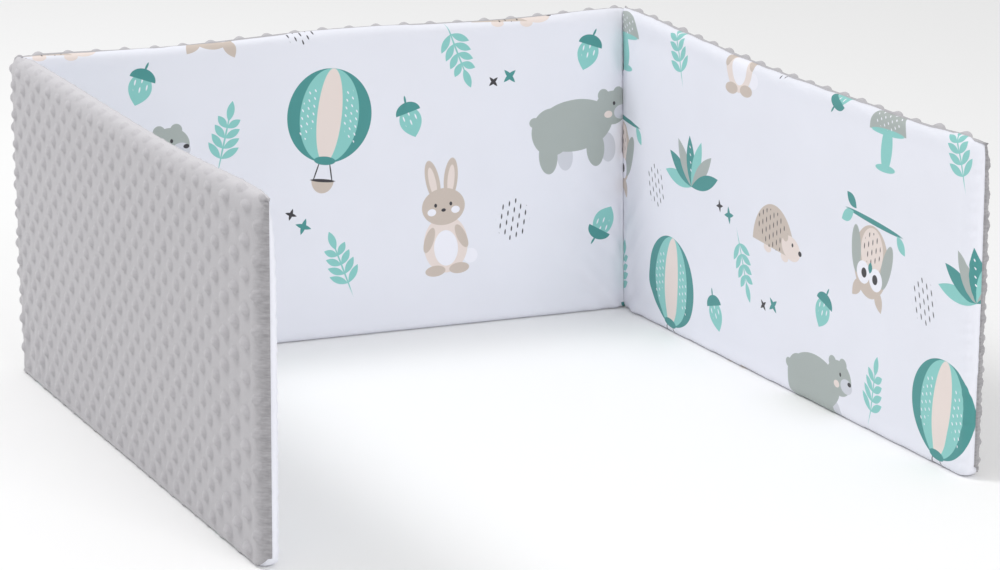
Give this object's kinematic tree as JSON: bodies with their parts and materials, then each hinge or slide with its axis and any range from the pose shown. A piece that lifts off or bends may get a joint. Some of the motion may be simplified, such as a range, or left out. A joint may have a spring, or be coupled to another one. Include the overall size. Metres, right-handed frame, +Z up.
{
  "type": "crib bumper",
  "caption": "Padded cot bumper standing in a U: panels joined by sewn folds, smooth printed cotton inside and dotted plush outside.",
  "frame": {"origin": "middle of the floor rectangle under the standing bumper", "axes": "+X along the back panel, +Z up; the U opens towards -Y"},
  "size_m": [0.702, 0.626, 0.308],
  "materials": {
    "printed_cotton": "plain woven white cotton with a printed repeat, matt",
    "dotted_plush": "light warm grey short-pile plush with raised dots, matt"
  },
  "bodies": {
    "root": {"pad_left": "printed_cotton", "pad_back": "printed_cotton", "pad_right": "printed_cotton", "plush_left": "dotted_plush", "plush_back": "dotted_plush", "plush_right": "dotted_plush"}
  },
  "joints": []
}
